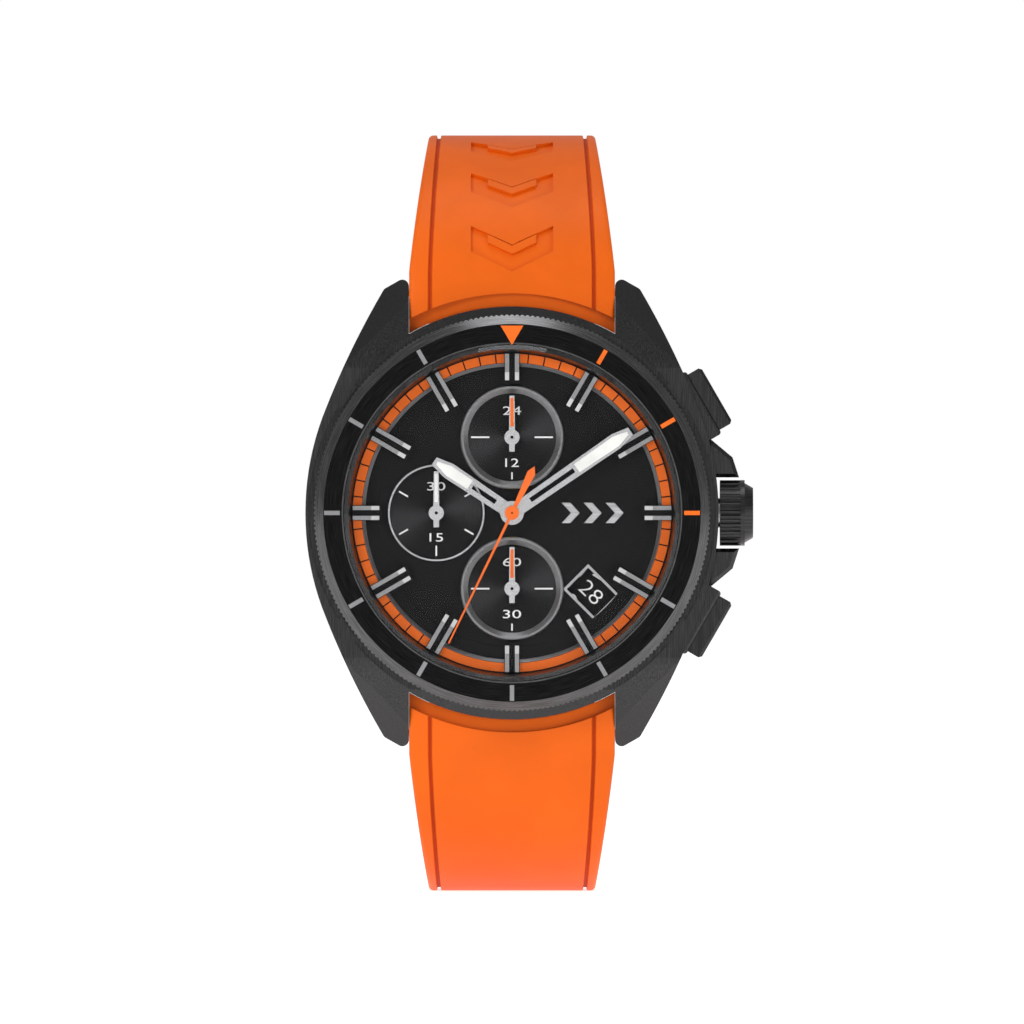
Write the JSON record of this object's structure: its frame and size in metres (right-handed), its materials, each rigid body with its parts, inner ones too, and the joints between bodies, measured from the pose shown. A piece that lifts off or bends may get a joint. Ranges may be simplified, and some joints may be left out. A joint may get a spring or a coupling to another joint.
{
  "type": "chronograph wristwatch",
  "caption": "Wrist chronograph with a coin-edge turning bezel, sub-dials, crown, sprung pushers and a rubber strap closed with a pin buckle.",
  "frame": {"origin": "centre of the case back's outer face, on the axis of the central hands", "axes": "+Z to 12 o'clock, +X to the crown at 3 o'clock, -Y out of the dial, so the watch stands upright and faces -Y"},
  "size_m": [0.0479, 0.0599, 0.0814],
  "materials": {
    "case_black": "brushed",
    "case_back_steel": "satin",
    "bezel_black": "satin",
    "insert_black": "circular brushed",
    "glass": "polished",
    "seal_rubber": "matte",
    "crown_black": "satin",
    "pusher_black": "satin",
    "plain_steel": "turned",
    "dial_black": "matte",
    "ring_black": "satin",
    "chapter_black": "satin",
    "bar_steel": "polished",
    "date_frame_steel": "polished",
    "date_black": "matte",
    "hand_silver": "satin",
    "hand_orange": "gloss",
    "hand_small": "satin",
    "movement_plastic": "matte",
    "plate_nickel": "nickel plated",
    "board_green": "satin",
    "cell_steel": "polished",
    "soft_iron": "matte",
    "coil_copper": "enamelled copper",
    "wheel_brass": "gilt",
    "strap_orange": "matte",
    "keeper_orange": "matte",
    "buckle_black": "brushed"
  },
  "bodies": {
    "case": {"case_middle": "case_black", "case_back": "case_back_steel", "case_back_screws": "case_back_steel", "case_back_gasket": "seal_rubber", "crystal": "glass", "crystal_gasket": "seal_rubber", "bezel_retaining_wire": "plain_steel", "bezel_click_spring": "plain_steel", "crown_tube": "plain_steel", "pusher_springs": "plain_steel", "dial": "dial_black", "subdial_rings": "ring_black", "chapter_ring": "chapter_black", "hour_bars": "bar_steel", "date_frame": "date_frame_steel", "movement_ring": "movement_plastic", "main_plate": "plate_nickel", "train_bridge": "plate_nickel", "circuit_board": "board_green", "movement_screws": "plain_steel", "calendar_plate": "plate_nickel", "battery": "cell_steel", "battery_clamp": "plain_steel", "motor_stators": "soft_iron", "motor_coils": "coil_copper", "spring_bars": "plain_steel", "strap_upper": "strap_orange", "strap_lower": "strap_orange", "buckle_bar": "plain_steel", "keeper_fixed": "keeper_orange"},
    "bezel": {"bezel": "bezel_black", "bezel_insert": "insert_black"},
    "crown_seal": {"crown_gasket": "seal_rubber"},
    "crown": {"crown": "crown_black", "stem": "plain_steel"},
    "pusher_upper": {"pusher_upper": "pusher_black"},
    "pusher_lower": {"pusher_lower": "pusher_black"},
    "minute_hand": {"minute_hand": "hand_silver", "cannon_pinion": "wheel_brass"},
    "minute_wheel": {"minute_wheel": "wheel_brass"},
    "hour_hand": {"hour_hand": "hand_silver", "hour_wheel": "wheel_brass"},
    "day_idler": {"day_idler": "wheel_brass"},
    "day_hand": {"day_hand": "hand_small", "day_wheel": "wheel_brass"},
    "small_seconds": {"small_seconds_hand": "hand_small", "seconds_wheel": "wheel_brass"},
    "seconds_idler": {"seconds_idler": "wheel_brass"},
    "seconds_rotor": {"seconds_rotor": "wheel_brass"},
    "chrono_seconds": {"chrono_seconds_hand": "hand_orange", "chrono_wheel": "wheel_brass"},
    "chrono_idler": {"chrono_idler": "wheel_brass"},
    "chrono_rotor": {"chrono_rotor": "wheel_brass"},
    "counter_idler": {"counter_idler": "wheel_brass"},
    "chrono_minutes": {"chrono_minutes_hand": "hand_small", "counter_wheel": "wheel_brass"},
    "date_disc": {"date_disc": "date_black"},
    "buckle_frame": {"buckle_frame": "buckle_black"},
    "buckle_tongue": {"buckle_tongue": "buckle_black"},
    "keeper_free": {"keeper_free": "keeper_orange"}
  },
  "joints": [
    {"name": "bezel_turn", "type": "hinge", "parent": "case", "child": "bezel", "pos_m": [0, 0, 0], "axis": [0, -1, 0], "continuous": true},
    {"name": "crown_pull", "type": "slide", "parent": "case", "child": "crown_seal", "axis": [1, 0, 0], "range_m": [0, 0.0012]},
    {"name": "crown_turn", "type": "hinge", "parent": "crown_seal", "child": "crown", "pos_m": [0.02225, -0.0046, 0], "axis": [1, 0, 0], "continuous": true},
    {"name": "pusher_upper_press", "type": "slide", "parent": "case", "child": "pusher_upper", "axis": [-0.866, 0, -0.5], "range_m": [0, 0.0008], "stiffness_N_per_m": 2500, "springref_m": -0.0004, "deforming": ["pusher_springs"]},
    {"name": "pusher_lower_press", "type": "slide", "parent": "case", "child": "pusher_lower", "axis": [-0.866, 0, 0.5], "range_m": [0, 0.0008], "stiffness_N_per_m": 2500, "springref_m": -0.0004, "deforming": ["pusher_springs"]},
    {"name": "minute_hand_turn", "type": "hinge", "parent": "case", "child": "minute_hand", "pos_m": [0, 0, 0], "axis": [0, 1, 0], "continuous": true},
    {"name": "minute_wheel_turn", "type": "hinge", "parent": "case", "child": "minute_wheel", "pos_m": [0.00288, 0, 0], "axis": [0, 1, 0], "continuous": true},
    {"name": "hour_hand_turn", "type": "hinge", "parent": "case", "child": "hour_hand", "pos_m": [0, 0, 0], "axis": [0, 1, 0], "continuous": true},
    {"name": "day_idler_turn", "type": "hinge", "parent": "case", "child": "day_idler", "pos_m": [0, 0, 0.0033], "axis": [0, 1, 0], "continuous": true},
    {"name": "day_hand_turn", "type": "hinge", "parent": "case", "child": "day_hand", "pos_m": [0, 0, 0.0081], "axis": [0, 1, 0], "continuous": true},
    {"name": "small_seconds_turn", "type": "hinge", "parent": "case", "child": "small_seconds", "pos_m": [0, 0, -0.0081], "axis": [0, 1, 0], "continuous": true},
    {"name": "seconds_idler_turn", "type": "hinge", "parent": "case", "child": "seconds_idler", "pos_m": [-0.00336, 0, -0.00906], "axis": [0, 1, 0], "continuous": true},
    {"name": "seconds_rotor_turn", "type": "hinge", "parent": "case", "child": "seconds_rotor", "pos_m": [-0.00626, 0, -0.00829], "axis": [0, 1, 0], "continuous": true},
    {"name": "chrono_seconds_turn", "type": "hinge", "parent": "case", "child": "chrono_seconds", "pos_m": [0, 0, 0], "axis": [0, 1, 0], "continuous": true},
    {"name": "chrono_idler_turn", "type": "hinge", "parent": "case", "child": "chrono_idler", "pos_m": [0.00364, 0, 0.0021], "axis": [0, 1, 0], "continuous": true},
    {"name": "chrono_rotor_turn", "type": "hinge", "parent": "case", "child": "chrono_rotor", "pos_m": [0.00505, 0, 0.00475], "axis": [0, 1, 0], "continuous": true},
    {"name": "counter_idler_turn", "type": "hinge", "parent": "case", "child": "counter_idler", "pos_m": [-0.00368, 0, 0.00168], "axis": [0, 1, 0], "continuous": true},
    {"name": "chrono_minutes_turn", "type": "hinge", "parent": "case", "child": "chrono_minutes", "pos_m": [-0.0081, 0, 0], "axis": [0, 1, 0], "continuous": true},
    {"name": "date_disc_turn", "type": "hinge", "parent": "case", "child": "date_disc", "pos_m": [0, 0, 0], "axis": [0, 1, 0], "continuous": true},
    {"name": "buckle_swing", "type": "hinge", "parent": "case", "child": "buckle_frame", "pos_m": [0, 0.042, 0.0014], "axis": [-1, 0, 0], "range_deg": [0, 3]},
    {"name": "buckle_tongue_lift", "type": "hinge", "parent": "buckle_frame", "child": "buckle_tongue", "pos_m": [0, 0.042, 0.0014], "axis": [1, 0, 0], "range_deg": [0, 3.5]},
    {"name": "keeper_free_slide", "type": "slide", "parent": "case", "child": "keeper_free", "axis": [0, 0, 1], "range_m": [-0.002, 0.004]}
  ],
  "couplings": [
    {"joint": "minute_wheel_turn", "follows": "minute_hand_turn", "ratio": -0.33333},
    {"joint": "hour_hand_turn", "follows": "minute_hand_turn", "ratio": 0.083333},
    {"joint": "day_idler_turn", "follows": "minute_hand_turn", "ratio": -0.069444},
    {"joint": "day_hand_turn", "follows": "minute_hand_turn", "ratio": 0.041667},
    {"joint": "seconds_idler_turn", "follows": "small_seconds_turn", "ratio": -6},
    {"joint": "seconds_rotor_turn", "follows": "small_seconds_turn", "ratio": 30},
    {"joint": "chrono_idler_turn", "follows": "chrono_seconds_turn", "ratio": -6},
    {"joint": "chrono_rotor_turn", "follows": "chrono_seconds_turn", "ratio": 30},
    {"joint": "counter_idler_turn", "follows": "chrono_seconds_turn", "ratio": -0.2},
    {"joint": "chrono_minutes_turn", "follows": "chrono_seconds_turn", "ratio": 0.033333}
  ]
}
